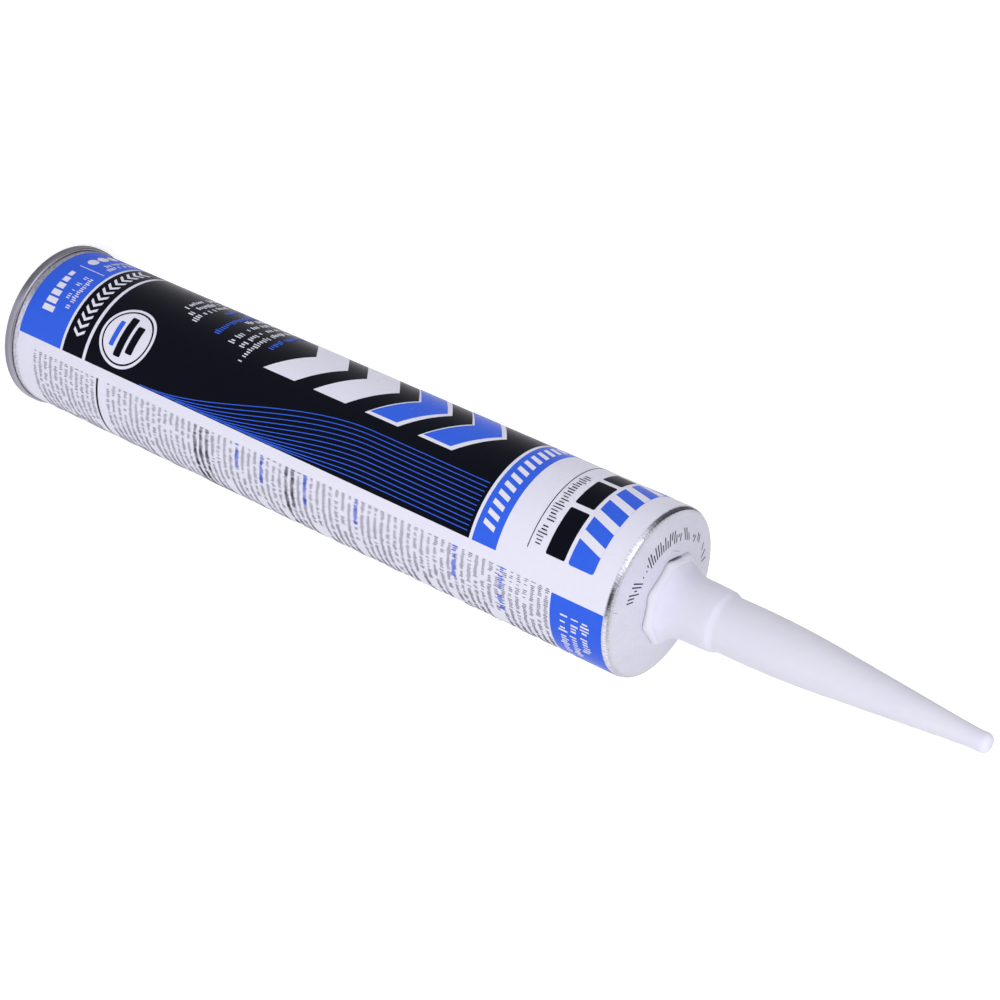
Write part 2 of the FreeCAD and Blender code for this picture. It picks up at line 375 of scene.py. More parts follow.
# colour, its deeper shade, roughness and gloss
inks = {
    "whiteLacquer": (white, (0.765, 0.755, 0.890), 0.30, 0.25),
    "blackInk": (black, (0.0022, 0.0030, 0.0075), 0.22, 0.045),
    "blueInk": (blue, (0.029, 0.116, 0.770), 0.24, 0.10),
    "smallPrintInk": ((0.150, 0.150, 0.195), (0.120, 0.120, 0.160), 0.34, 0.15),
    # dark plates for thin scratches and for a painted shadow under the flange's edge
    "scratchAndShadowInk": ((0.110, 0.105, 0.140), (0.075, 0.072, 0.100), 0.45, 0.30),
    "dateInk": ((0.012, 0.012, 0.028), (0.009, 0.009, 0.022), 0.40, 0.20),
}
# colour, its deeper shade, roughness, how far light goes in and how much of it
plastics = {
    "milkyPolyethylene": ((0.775, 0.765, 0.965), (0.750, 0.740, 0.945), 0.38, 0.0020, 1.0),
    "pistonPolyethylene": ((0.790, 0.790, 0.810), (0.730, 0.730, 0.755), 0.44, 0.0008, 0.35),
}
finishes = {name: makeInk(name, *settings) for name, settings in inks.items()}
finishes.update({name: makePlastic(name, *settings) for name, settings in plastics.items()})
finishes.update({"bareAluminium": makeMetal(), "blackPaste": makePaste()})
print("finishes made")


# Can

can = {
    "around": 288, "wall": 0.35, "shoulderWall": 0.9, "cornerBend": 2.39, "cornerFoot": 214.25,
    "beadRadius": 24.41, "beadHeight": 2.77, "rearRadius": 23.72, "bandHeight": 4.67,
    "fold": 0.525, "footRound": 0.4, "lipGap": 0.12, "lipLength": 0.45,
    "neckRadius": 6.75, "neckBore": 5.6, "neckHeight": 12.8, "neckRoot": 0.8, "chamfer": 0.5, "seal": 0.3,
    "ridge": 0.27, "pitch": 2.2, "threadRows": 62, "threadEnds": (1.8, 0.9),
}


def underShoulder(r):
    return r, shoulderHeight(r, -can["shoulderWall"])


def canOutline():
    # half section from the neck's top down the outside, round the roll and up the inside
    bore, corner, cornerFoot = wallRadius - can["wall"], can["cornerBend"], can["cornerFoot"]
    rear, bead, top, foot = can["rearRadius"], can["beadRadius"], can["beadHeight"], can["footRound"]
    fold, lip, lipGap = can["fold"], top - can["lipLength"], can["lipGap"]
    neck, neckBore, root, chamfer = can["neckRadius"], can["neckBore"], can["neckRoot"], can["chamfer"]
    neckTop, neckFoot = shoulderHeight(neck) + can["neckHeight"], shoulderHeight(neck + root, root)
    neckRows = np.linspace(neckTop - chamfer, neckFoot, can["threadRows"])
    outside = [
        roundedCorner((0, neckTop), (neck - chamfer, neckTop), (neck, neckTop - chamfer), 0.25),
        np.stack([np.full(len(neckRows), neck), neckRows], -1),
        arcPoints(neck + root, neckFoot, root, 184, 270 - math.degrees(slope), 8),
        [(r, shoulderHeight(r)) for r in (9.0, 11.0, 14.0, 17.0, 20.0, 22.4)],
        roundedCorner((21.5, shoulderHeight(21.5)), (cornerRadius, cornerHeight), (23.2, 215.48), 0.22),
        arcPoints(wallRadius - corner, cornerFoot, corner, 33, 0, 9),
        [(wallRadius, height) for height in (160.0, 110.0, 60.0, can["bandHeight"])],
        [(rear, top), (rear, lip), (rear + lipGap, lip), (rear + lipGap, top - 0.05)],
    ]
    inside = [
        arcPoints(bead - fold, top - fold, fold, 90, 0, 9),
        arcPoints(bead - foot, foot, foot, 0, -90, 7),
        arcPoints(rear - can["wall"] + foot, foot, foot, -90, -180, 7),
        [(rear - can["wall"], top), (bore, can["bandHeight"]), (bore, 110.0), (bore, cornerFoot)],
        [underShoulder(22.13), underShoulder(14.0)],
        roundedCorner(underShoulder(9.0), underShoulder(neckBore), (neckBore, 224.0), 0.5),
        [(neckBore, neckTop - can["seal"])],
    ]
    return np.vstack([np.asarray(part, float) for part in outside + inside]), neckTop


def makeCan():
    line, neckTop = canOutline()
    angles = directions(can["around"])
    radii, heights = sweep(line, can["around"])
    onNeck = np.isclose(line[:, 0], can["neckRadius"])[:, None]
    low, high = shoulderHeight(can["neckRadius"]) + can["threadEnds"][0], neckTop - can["threadEnds"][1]
    radii = radii + onNeck * can["ridge"] * threadHeight(angles, heights, low, high, can["pitch"])
    poles = neckTop, neckTop - can["seal"]
    piece = turnedShell("canBody", radii, heights, angles, poles, finishes["bareAluminium"], "can")
    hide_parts("can")


makeCan()
print("can made")


# Nozzle

nozzle = {
    "around": 256, "base": 219.003, "length": 91.6, "flat": 11.8, "corner": 3.2, "turn": -39.0,
    "flange": 1.6, "gap": 0.04, "edge": 1.3, "mouth": 0.35,
    "notch": (0.6, -143.0, 12.0),  # depth, azimuth and half width
    "flareRadius": 10.6, "flareTop": 10.3, "flarePower": 3.36, "hub": (8.53, 8.3, 15.9), "hubFoot": 10.5,
    "step": 1.7, "stepRounds": (0.35, 0.5), "barrel": 7.5, "knuckle": 35.0, "blend": 12.0,
    "tip": (2.62, 5.2), "tipRound": 1.7, "tipBlend": 2.6, "plug": 3.0, "wall": 1.1, "bend": 0.32,
    "bore": 7.35, "seat": 233.323, "ridge": 0.24, "threadRows": 60, "threadEnds": (3.6, 1.0),
}


def octagonRadius(angles):
    # distance to a regular eight-sided outline with rounded corners, in each direction
    half = math.pi / 8
    off = np.abs((angles - math.radians(nozzle["turn"]) + half) % (2 * half) - half)
    centre = (nozzle["flat"] - nozzle["corner"]) / math.cos(half)
    flat = nozzle["flat"] / np.cos(half - off)
    bend = centre * np.cos(off) + np.sqrt(np.maximum(nozzle["corner"] ** 2 - (centre * np.sin(off)) ** 2, 0))
    reach = math.atan2(nozzle["corner"] * math.sin(half), centre + nozzle["corner"] * math.cos(half))
    return np.where(off < reach, bend, flat)


def barrelBend(barrel, tipR, tipStart, steps):
    # where the barrel goes over into the cone that runs to (tipR, tipStart)
    knuckleZ, blend = nozzle["base"] + nozzle["knuckle"], nozzle["blend"]
    ahead = np.array([tipR - barrel, tipStart - knuckleZ])
    ahead = ahead / np.linalg.norm(ahead) * blend
    end = barrel + ahead[0], knuckleZ + ahead[1]
    return bendPoints((barrel, knuckleZ - blend), (barrel, knuckleZ), end, steps)


def nozzleOutside():
    # from the flare's foot up to the tip
    base, tipZ = nozzle["base"], nozzle["base"] + nozzle["length"]
    hubLow, hubHigh, hubEnd = nozzle["hub"]
    tipR, tipStart = nozzle["tip"][0], tipZ - nozzle["tip"][1]
    footZ = shoulderHeight(nozzle["flareRadius"], nozzle["gap"] + nozzle["flange"])
    # the flare closes in on the hub as a power of the way that is left
    t = np.linspace(0, 1, 22)
    flareR = hubLow + (nozzle["flareRadius"] - hubLow) * (1 - t) ** nozzle["flarePower"]
    flareZ = footZ + (base + nozzle["flareTop"] - footZ) * t
    barrel, stepLow = nozzle["barrel"], base + hubEnd
    hubTop, stepTop = (hubHigh, stepLow), (barrel, stepLow + nozzle["step"])
    lowRound, highRound = nozzle["stepRounds"]
    tipFoot, tipRound = (tipR, tipStart), nozzle["tipRound"]
    parts = [
        np.stack([flareR, flareZ], -1)[4:],
        roundedCorner((hubLow, base + nozzle["hubFoot"]), hubTop, stepTop, lowRound),
        roundedCorner(hubTop, stepTop, (barrel, stepTop[1] + 3), highRound),
        barrelBend(barrel, tipR, tipStart, 15),
        roundedCorner((barrel, base + nozzle["knuckle"]), tipFoot, (tipR, tipZ - 1), nozzle["tipBlend"]),
        arcPoints(tipR - tipRound, tipZ - tipRound, tipRound, 0, 88, 10),
    ]
    return np.vstack(parts), tipZ


def nozzleInside(tipZ):
    # from the mouth that takes the neck up to the closed end of the channel
    bore, seat, wall = nozzle["bore"], nozzle["seat"], nozzle["wall"]
    tipR, tipStart, channel = nozzle["tip"][0] - wall, tipZ - nozzle["tip"][1], nozzle["barrel"] - wall
    mouthZ = shoulderHeight(bore, nozzle["gap"]) + nozzle["mouth"]
    boreRows = np.linspace(mouthZ, seat - 0.1, nozzle["threadRows"])
    parts = [
        np.stack([np.full(len(boreRows), bore), boreRows], -1),
        [(bore - 0.1, seat), (channel, seat)],
        barrelBend(channel, tipR, tipStart, 9),
        [(tipR, tipStart), (tipR, tipZ - nozzle["plug"])],
    ]
    return np.vstack([np.asarray(part, float) for part in parts])


def makeNozzle():
    # rows from the tip down the outside, out over the eight-sided flange, under it, and up the bore
    angles = directions(nozzle["around"], math.radians(nozzle["turn"]))
    line, tipZ = nozzleOutside()
    outside, outsideHeights = sweep(line[::-1], nozzle["around"])
    edge, under, over = nozzle["edge"], nozzle["gap"], nozzle["gap"] + nozzle["flange"]
    a = np.radians(np.linspace(90, 0, 10))
    insets = np.concatenate([edge - edge * np.cos(a), [0.0, 0.05, 0.5]])
    lifts = np.concatenate([over - edge + edge * np.sin(a), [under + 0.08, under, under]])
    rim = octagonRadius(angles) - insets[:, None]
    # one flat of the underside stands off the shoulder a little more than the rest
    deep, azimuth, width = nozzle["notch"]
    off = (np.degrees(angles) - azimuth + 180) % 360 - 180
    share = smoothStep((over - lifts[:, None]) / nozzle["flange"])
    notch = deep * smoothStep(1.6 - np.abs(off) / width) * share
    rimHeights = shoulderHeight(rim, lifts[:, None] + notch)
    # the flare runs out on to the flange in one bend, whose knuckle is the flare's foot
    t = np.linspace(0, 1, 10)[1:-1, None]
    knuckle = nozzle["flareRadius"], shoulderHeight(nozzle["flareRadius"], over)
    runOut, runOutHeights = (
        (1 - t) ** 2 * line[0, k] + 2 * t * (1 - t) * knuckle[k] + t**2 * last
        for k, last in enumerate((rim[:1], rimHeights[:1]))
    )
    lip = np.full((1, nozzle["around"]), nozzle["bore"] + nozzle["mouth"])
    inner = nozzleInside(tipZ)
    bore, boreHeights = sweep(inner, nozzle["around"])
    low, high = nozzle["base"] + nozzle["threadEnds"][0], nozzle["seat"] - nozzle["threadEnds"][1]
    onBore = np.isclose(inner[:, 0], nozzle["bore"])[:, None]
    bore = bore - onBore * nozzle["ridge"] * threadHeight(angles, boreHeights, low, high, can["pitch"])
    radii = np.vstack([outside, runOut, rim, lip, bore])
    heights = np.vstack([outsideHeights, runOutHeights, rimHeights, shoulderHeight(lip, under), boreHeights])
    start = nozzle["base"] + nozzle["flareTop"]

    def bend(z):
        # the long nozzle has warped a little towards its tip, as the square of the height over the hub
        return nozzle["bend"] * np.clip((z - start) / (tipZ - start), 0, 1) ** 2

    poles = tipZ, tipZ - nozzle["plug"]
    plastic = finishes["milkyPolyethylene"]
    piece = turnedShell("nozzleBody", radii, heights, angles, poles, plastic, "nozzle", 65, bend)
    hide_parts("nozzle")


makeNozzle()
print("nozzle made")


# Piston and sealant

fill = {
    "around": 128, "rim": 23.2, "core": 5.55, "shoulderRim": 22.08, "under": -0.95,
    "rimTop": 214.2, "coreTop": 232.67,
    "depth": 182.629,  # from the shoulder's underside down to the lower end
}


def dressPiston():
    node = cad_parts["piston"]
    node.data.materials.clear()
    node.data.materials.append(finishes["pistonPolyethylene"])


def makeSealant():
    # closed turned body between piston and shoulder; only its two ends have points, so it shortens straight
    lower = [(r, underShoulder(r)[1] - fill["depth"]) for r in (fill["core"], fill["rim"])]
    upper = [(r, shoulderHeight(r, fill["under"])) for r in (fill["shoulderRim"], fill["core"])]
    line = np.array([*lower, (fill["rim"], fill["rimTop"]), *upper, (fill["core"], fill["coreTop"])])[::-1]
    radii, heights = sweep(line, fill["around"])
    poles = fill["coreTop"], lower[0][1]
    angles = directions(fill["around"])
    piece = turnedShell("sealantFill", radii, heights, angles, poles, finishes["blackPaste"], None)
    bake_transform(piece)
    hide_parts("sealant")


dressPiston()
makeSealant()
print("piston and sealant made")


# Print on the wall. Each colour is one piece of thin closed plates that lie on the wall.

layers = {"coat": 23.64, "field": 23.68, "mark": 23.72, "top": 23.76, "depth": 0.06, "scratchAndShadowLift": 0.02}


def wallDegrees(length):
    return np.degrees(length / wallRadius)


class WallPrint:
    # gathers plates of one colour; azimuths in degrees, heights in millimetres
    def __init__(self, name, ink, layer):
        self.name, self.material = name, finishes[ink]
        self.outer = layers[layer]
        self.points, self.quads, self.count = [], [], 0

    def onWall(self, azimuths, heights, radius):
        return roundAxis(radius, np.radians(azimuths), heights)

    def plate(self, azimuths, heights, closed=False):
        # a grid of (row, column) on the wall, with an underside in the wall and closed edges
        rows, columns = azimuths.shape
        top = self.onWall(azimuths, heights, self.outer).reshape(-1, 3)
        under = self.onWall(azimuths, heights, self.outer - layers["depth"]).reshape(-1, 3)
        size = rows * columns
        faces = gridQuads(rows, columns, closed)
        index = np.arange(size).reshape(rows, columns)
        borders = [(index[0], closed, False), (index[-1], closed, True)]
        if not closed:
            borders += [(index[:, 0], False, True), (index[:, -1], False, False)]
        quads = [faces, faces[:, ::-1] + size]
        for line, looped, flip in borders:
            here, there = (line, np.roll(line, -1)) if looped else (line[:-1], line[1:])
            side = np.stack([here, here + size, there + size, there], -1)
            quads.append(side[:, ::-1] if flip else side)
        quads = np.vstack(quads)
        # turned to face outwards whichever way the grid runs
        corners = top[faces[0]]
        normal = np.cross(corners[1] - corners[0], corners[3] - corners[0])
        if normal @ (corners[0] * (1, 1, 0)) < 0:
            quads = quads[:, ::-1]
        self.points += [top, under]
        self.quads.append(quads + self.count)
        self.count += 2 * size

    def patch(self, z0, z1, a0, a1):
        steps = max(2, int(abs(a1 - a0) / 2.0) + 2)
        azimuths, heights = np.meshgrid(np.linspace(a0, a1, steps), [z0, z1])
        self.plate(azimuths, heights)

    def ringBand(self, z0, z1):
        azimuths, heights = np.meshgrid(np.linspace(0, 360, 180, endpoint=False), [z0, z1])
        self.plate(azimuths, heights, closed=True)

    def roundedPatch(self, z0, z1, a0, a1, radius):
        # bar with round corners: columns get shorter towards both ends
        width = math.radians(abs(a1 - a0)) * wallRadius
        bend = np.radians(np.linspace(0, 90, 6))
        cut, away = radius * (1 - np.sin(bend)), radius * (1 - np.cos(bend))
        middle = np.linspace(radius, width - radius, max(2, int(width / 0.9)))[1:-1]
        along = np.concatenate([away, middle, width - away[::-1]])
        trim = np.concatenate([cut, np.zeros(len(middle)), cut[::-1]])
        azimuths = np.tile(a0 + wallDegrees(along) * np.sign(a1 - a0), (2, 1))
        self.plate(azimuths, np.stack([z0 + trim, z1 - trim]))

    def disc(self, z, a, radius):
        # the square from -1 to 1 drawn out to a circle
        u, v = np.meshgrid(np.linspace(-1, 1, 15), np.linspace(-1, 1, 15))
        x, y = u * np.sqrt(1 - v * v / 2), v * np.sqrt(1 - u * u / 2)
        self.plate(a + wallDegrees(x * radius), z + y * radius)

    def ring(self, z, a, inner, outer):
        t, r = np.meshgrid(np.linspace(0, 2 * math.pi, 72, endpoint=False), [inner, outer])
        self.plate(a + wallDegrees(r * np.cos(t)), z + r * np.sin(t), closed=True)

    def chevron(self, z0, a0, a1, thick, rise):
        # band of even height that climbs by rise to its middle and falls back
        t = np.linspace(0, 1, 41)
        climb = z0 + rise * (1 - np.abs(2 * t - 1))
        self.plate(np.tile(a0 + (a1 - a0) * t, (2, 1)), np.stack([climb, climb + thick]))

    def leaningBar(self, z0, z1, a, width, lean):
        # width and lean in millimetres round the wall
        across, up = np.meshgrid(np.linspace(0, width, 4), np.linspace(0, 1, 6))
        self.plate(a + wallDegrees(across + lean * up), z0 + (z1 - z0) * up)

    def stroke(self, azimuths, heights, width):
        # a line of even width through the points, in the wall's own plane
        along = np.gradient(np.stack([np.radians(azimuths) * wallRadius, heights], -1), axis=0)
        side = np.stack([-along[:, 1], along[:, 0]], -1)
        side *= width / 2 / np.linalg.norm(side, axis=1, keepdims=True)
        lean, rise = wallDegrees(side[:, 0]), side[:, 1]
        self.plate(np.stack([azimuths - lean, azimuths + lean]), np.stack([heights - rise, heights + rise]))

    def ticks(self, z0, z1, a0, a1):
        # many small upright marks at once; each of the four is an array with one entry for each mark
        low, high = np.minimum(a0, a1), np.maximum(a0, a1)
        corners = [(low, z0), (high, z0), (high, z1), (low, z1)]
        levels = self.outer, self.outer - layers["depth"]
        points = np.stack([self.onWall(a, z, radius) for radius in levels for a, z in corners], 1)
        self.points.append(points.reshape(-1, 3))
        self.quads.append(boxQuads(len(low)) + self.count)
        self.count += points.shape[0] * 8

    def finish(self):
        points, quads = np.vstack(self.points), np.vstack(self.quads)
        piece = addPiece(self.name, points, quads, [], self.material, "can", 40)


# heights, then azimuths, and the radius of the corners where they are round
layout = {
    "coat": (4.67, 214.16), "panel": (-196.0, -72.0),
    "blackBands": ((22.31, 30.2), (31.37, 170.6)), "blueBands": ((4.67, 21.36), (171.6, 179.3)),
    "blackPatches": ((36.9, 37.6, -64.0, 2.0), (187.7, 187.95, -184.0, -82.5)),
    "bluePatches": ((198.2, 214.16, -62.5, 36.0),), "blueRounded": ((200.4, 208.2, -184.0, -83.0, 0.8),),
    "blackRounded": (
        (193.3, 199.2, -117.0, -83.5, 0.5), (193.3, 199.2, -146.0, -121.0, 0.5),
        (193.3, 199.2, -168.0, -150.0, 0.5),
    ),
}


def printFields():
    coat = WallPrint("printCoat", "whiteLacquer", "coat")
    coat.ringBand(*layout["coat"])
    coat.finish()
    kinds = ("black", "printBlackFields", "blackInk"), ("blue", "printBlueFields", "blueInk")
    for colour, name, ink in kinds:
        fields = WallPrint(name, ink, "field")
        for heights in layout[colour + "Bands"]:
            fields.patch(*heights, *layout["panel"])
        for patch in layout[colour + "Patches"]:
            fields.patch(*patch)
        for patch in layout[colour + "Rounded"]:
            fields.roundedPatch(*patch)
        fields.finish()


motifs = {
    "badge": (42.6, -98.8), "badgeRing": (8.45, 9.3), "badgeDisc": 7.9,
    # foot and top from the badge's middle, half width and corner radius
    "badgeBars": ((1.7, 4.3, 10.5, 0.5), (-2.0, 0.6, 15.0, 0.5)), "badgeBlueBar": (-4.8, -3.1, 9.5, 0.4),
    "divider": (10.0, 19.8, -136.6, -136.0),
    # foot, first top and its growth, first azimuth, pitch, width and count
    "growingBars": (9.9, 11.6, 0.52, -128.6, 6.2, 4.4, 6),
    "dots": (11.4, -165.0, 9.5, 3, 1.7),  # height, first azimuth, pitch, count and radius
    # foot, top, first azimuth, pitch, count, width and lean; the first two rows make small chevrons
    "leaningBars": (
        (24.0, 26.1, -162.0, 5.9, 13, 1.0, 1.5), (26.1, 28.2, -162.0, 5.9, 13, 1.0, -1.5),
        (173.3, 177.2, -178.0, 6.9, 14, 1.4, 1.3), (200.4, 208.2, -173.0, 16.5, 5, 2.6, 2.6),
    ),
    "chevrons": {
        "first": 88.0, "pitch": 18.2, "count": 4, "left": -177.0, "right": -119.0, "thick": 11.4, "rise": 9.0,
    },
    "blueChevrons": {"from": 2, "below": 1.15, "beside": 2.4, "thick": 9.1, "rise": 8.6},
    # each line starts a step above the last, and bends over a length that gets shorter
    "lines": {
        "low": 53.0, "high": 169.6, "edge": -72.9, "count": 11, "step": 4.6, "spacing": 3.3, "width": 0.23,
        "bend": 78.0, "shorter": 4.0,
    },
}


def printBadge(whites, darks, tops):
    z, a = motifs["badge"]
    whites.ring(z, a, *motifs["badgeRing"])
    whites.disc(z, a, motifs["badgeDisc"])
    for low, high, half, radius in motifs["badgeBars"]:
        darks.roundedPatch(z + low, z + high, a - half, a + half, radius)
    low, high, half, radius = motifs["badgeBlueBar"]
    tops.roundedPatch(z + low, z + high, a - half, a + half, radius)


def printRearField(whites):
    whites.patch(*motifs["divider"])
    foot, top, growth, first, pitch, width, count = motifs["growingBars"]
    for k in range(count):
        left = first + pitch * k
        whites.patch(foot, top + growth * k, left, left + width)
    height, first, pitch, count, radius = motifs["dots"]
    for k in range(count):
        whites.disc(height, first + pitch * k, radius)


def printLines(blues):
    # fine lines that leave the field's lower edge one after another and run on to its front edge
    lines = motifs["lines"]
    for k in range(lines["count"]):
        heights = np.linspace(lines["low"] + lines["step"] * k, lines["high"], 70)
        away = lines["spacing"] * (lines["count"] - k)
        run = smoothStep((heights - heights[0]) / (lines["bend"] - lines["shorter"] * k))
        blues.stroke(lines["edge"] - away * run, heights, lines["width"])


def printShapes():
    whites = WallPrint("printWhiteShapes", "whiteLacquer", "mark")
    blues = WallPrint("printBlueShapes", "blueInk", "mark")
    darks = WallPrint("printDarkShapes", "blackInk", "top")
    tops = WallPrint("printBlueTops", "blueInk", "top")
    printBadge(whites, darks, tops)
    printRearField(whites)
    for foot, top, first, pitch, count, width, lean in motifs["leaningBars"]:
        first += wallDegrees(max(-lean, 0.0))  # a bar that leans back starts where the other kind ends
        for k in range(count):
            whites.leaningBar(foot, top, first + pitch * k, width, lean)
    # large chevrons, the last ones with a blue middle
    big, middle = motifs["chevrons"], motifs["blueChevrons"]
    for k in range(big["count"]):
        z, left, right = big["first"] + big["pitch"] * k, big["left"], big["right"]
        whites.chevron(z, left, right, big["thick"], big["rise"])
        if k >= middle["from"]:
            z, left, right = z + middle["below"], left + middle["beside"], right - middle["beside"]
            tops.chevron(z, left, right, middle["thick"], middle["rise"])
    printLines(blues)
    for group in (whites, blues, darks, tops):
        group.finish()


# Small print stands as rows of upright marks. The blocks are grey: low, high and pitch of their rows.
smallPrint = {
    "blocks": ((11.6, 35.4, 2.12), (41.2, 197.0, 2.25)), "blockStart": -64.0,
    "blockEnds": (1.0, 1.0, 1.0, -9.0, -26.0), "blockMarks": (0.54, 1.15, 0.32),
}
# start, pitch, height and weight of the marks, then each row's height and the azimuth where it ends
boldPrint = {
    ("printBlueRows", "blueInk"): (
        (-64.0, 0.6, 1.4, 0.46, (
            (90.7, -45.0), (99.7, -42.0), (115.4, -38.0), (133.4, -44.0), (166.6, -40.0), (181.9, -30.0))),
        (-170.0, 0.9, 1.8, 0.46, ((60.6, -152.0), (66.0, -128.0), (83.8, -134.0))),
    ),
    ("printBoldRows", "blackInk"): (
        (-64.0, 0.6, 1.3, 0.38, ((75.0, -6.0), (77.2, -2.0), (79.5, -30.0), (108.8, -10.0), (111.0, -34.0))),
        (-146.0, 0.95, 2.3, 0.3, ((189.4, -84.0),)),
    ),
    ("printWhiteRows", "whiteLacquer"): (
        (-172.0, 0.9, 1.8, 0.46, (
            (50.4, -138.0), (53.5, -134.0), (56.7, -130.0), (68.8, -150.0), (72.5, -124.0), (76.2, -126.0),
            (79.7, -114.0))),
        (-128.6, 0.7, 1.5, 0.46, ((15.6, -104.0), (17.8, -99.0))),
        (-170.0, 0.7, 1.5, 0.46, ((15.6, -146.0), (17.8, -142.0))),
        (-52.0, 1.0, 2.2, 0.46, ((201.5, -4.0), (204.9, -14.0), (208.3, -24.0))),
    ),
}


def textMarks(chance, start, pitch, height, weight, rows):
    # upright marks in groups, row by row; some are taller, some hang below the row, and gaps part the groups
    marks = []
    for z, end in rows:
        count = int(math.radians(abs(end - start)) * wallRadius / pitch)
        place = (np.arange(count) + 0.5) * pitch
        group = np.cumsum(chance.random(count) < 0.17)
        keep = np.concatenate([[True], group[1:] == group[:-1]])
        rise = height * chance.choice([0.70, 0.70, 0.74, 1.0, 1.0], count)
        drop = height * chance.choice([0.0, 0.0, 0.0, 0.24], count)
        half = wallDegrees(pitch * weight * chance.uniform(0.75, 1.25, count) / 2)
        a = start + np.sign(end - start) * wallDegrees(place)
        marks.append(np.stack([z - drop, z + rise, a - half, a + half], -1)[keep])
    return np.vstack(marks).T


def printSmall():
    chance = np.random.default_rng(11)
    small = WallPrint("printSmallRows", "smallPrintInk", "mark")
    for low, high, pitch in smallPrint["blocks"]:
        rows = np.arange(low, high, pitch)
        ends = chance.choice(smallPrint["blockEnds"], len(rows))
        marks = textMarks(chance, smallPrint["blockStart"], *smallPrint["blockMarks"], zip(rows, ends))
        small.ticks(*marks)
    small.finish()
    for (name, ink), groups in boldPrint.items():
        bold = WallPrint(name, ink, "top")
        for group in groups:
            bold.ticks(*textMarks(chance, *group))
        bold.finish()


printFields()
printShapes()
printSmall()
print("print made")


# Date marks, scratches and a painted shadow on the shoulder

dateMarks = {
    "radius": 15.6, "height": 3.0, "from": -73.0, "count": 45, "pitch": 0.92, "width": 0.34, "lean": 0.45,
    "gaps": (6, 8, 26, 30, 31, 34, 37, 38, 39, 41, 43), "dots": (7, 9), "dotSpan": (0.2, 0.34),
    "levels": (0.03, -0.05),  # top and underside, as a lift off the metal
}


def makeDateMarks():
    # short thin strokes across the cone, in groups that each lean their own way
    chance = np.random.default_rng(5)
    numbers = np.setdiff1d(np.arange(dateMarks["count"]), dateMarks["gaps"])
    place = numbers * dateMarks["pitch"]
    lean = dateMarks["lean"] * (np.searchsorted(dateMarks["gaps"], numbers) % 3 - 1)
    low = chance.choice([0.0, 0.0, 0.35], len(place))
    high = chance.choice([1.0, 1.0, 0.6], len(place))
    isDot = np.isin(numbers, dateMarks["dots"])
    low, high = (np.where(isDot, dot, share) for dot, share in zip(dateMarks["dotSpan"], (low, high)))
    corners = []
    for lift in dateMarks["levels"]:
        for side, share in ((-1, low), (1, low), (1, high), (-1, high)):
            r = dateMarks["radius"] + dateMarks["height"] * share
            along = place + lean * (share - 0.5) * 2 + side * dateMarks["width"] / 2
            a = math.radians(dateMarks["from"]) - along / dateMarks["radius"]
            corners.append(roundAxis(r, a, shoulderHeight(r, lift)))
    points = np.stack(corners, 1)
    piece = addPiece("shoulderMarks", points, boxQuads(len(place)), [], finishes["dateInk"], "can", 40)


class ShoulderPrint(WallPrint):
    # the same plates on the shoulder's slope, where heights are radii and the layer is a lift off the metal
    def onWall(self, azimuths, heights, radius):
        return roundAxis(heights, np.radians(azimuths), shoulderHeight(heights, radius))


scratchesAndShadow = {
    # painted shadow along the flange's raised flat, where the flange stands off: first and last azimuth, then
    # inner and outer offset from its edge
    "edge": (-129.5, -158.0, -0.30, 0.24),
    # scratches: azimuth and radius of both ends, and width
    "lines": ((-140.6, 14.2, -154.9, 12.95, 0.10), (-65.6, 22.6, -65.0, 20.6, 0.10)), "steps": 16,
}


def makeScratchesAndShadow():
    # a dark crescent, a painted shadow where the flange stands off, and thin scratches that taper to both
    # ends
    group = ShoulderPrint("shoulderScratchesAndShadow", "scratchAndShadowInk", "scratchAndShadowLift")
    t = np.linspace(0, 1, scratchesAndShadow["steps"])
    # painted shadow: a dark crescent along the flange's raised flat
    first, last, inner, outer = scratchesAndShadow["edge"]
    azimuths = first + (last - first) * t
    edge = octagonRadius(np.radians(azimuths))
    swell = np.sin(math.pi * t) ** 0.6 + 0.02
    group.plate(np.tile(azimuths, (2, 1)), np.stack([edge + inner * swell, edge + outer * swell]))
    for a0, r0, a1, r1, width in scratchesAndShadow["lines"]:
        swell = (np.sin(math.pi * t) + 0.05) * width / 2
        azimuths, radii = a0 + (a1 - a0) * t, r0 + (r1 - r0) * t
        along = np.stack([math.radians(a1 - a0) * radii, np.full(len(t), r1 - r0)])
        side = np.stack([-along[1], along[0]]) / np.linalg.norm(along, axis=0) * swell
        lean, rise = np.degrees(side[0] / radii), side[1]
        group.plate(np.stack([azimuths - lean, azimuths + lean]), np.stack([radii - rise, radii + rise]))
    group.finish()


makeDateMarks()
makeScratchesAndShadow()
print("date marks and scuffs made")


# Floor, lamps and camera

